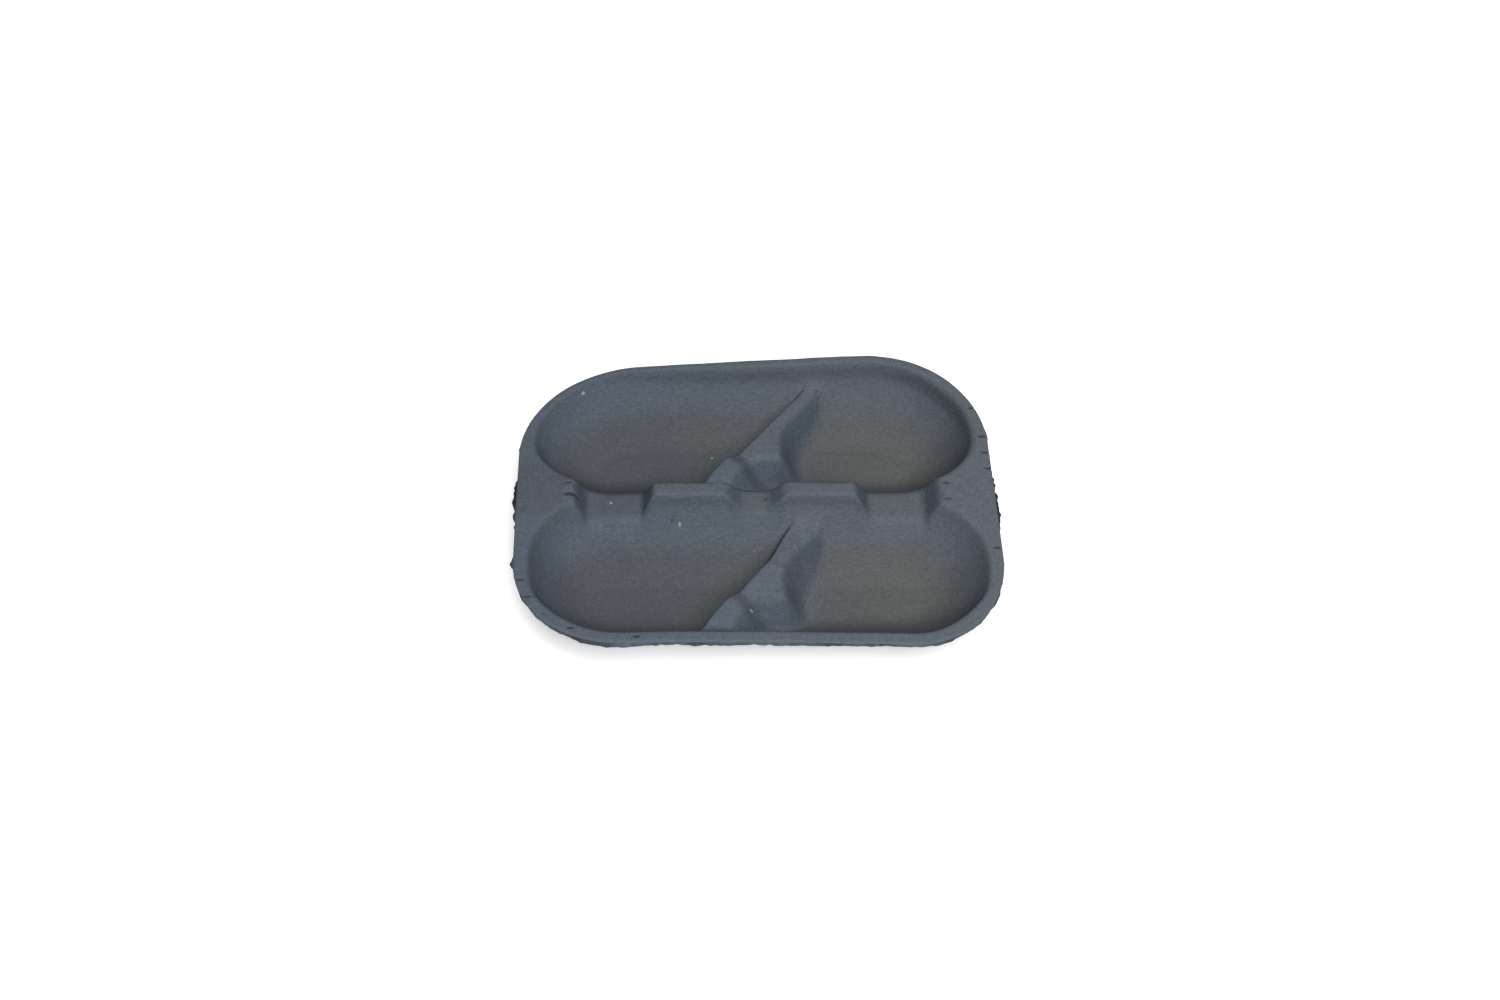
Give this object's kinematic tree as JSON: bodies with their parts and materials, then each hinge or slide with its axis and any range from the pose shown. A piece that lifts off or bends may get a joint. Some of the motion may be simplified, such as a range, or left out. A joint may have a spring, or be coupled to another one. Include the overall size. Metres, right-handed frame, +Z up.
{
  "type": "molded pulp fruit tray",
  "caption": "Low moulded pulp tray with two long troughs, a notched ridge between them and slanting dividers that part rounded fruit cells.",
  "frame": {"origin": "the table, under the middle of the tray", "axes": "+X along the troughs, towards the right-hand end of the picture; +Y towards its back; +Z up"},
  "size_m": [0.1994, 0.15, 0.0338],
  "materials": {
    "pulp": "matte, slate blue-grey moulded pulp"
  },
  "bodies": {
    "root": {"tray": "pulp"}
  },
  "joints": []
}
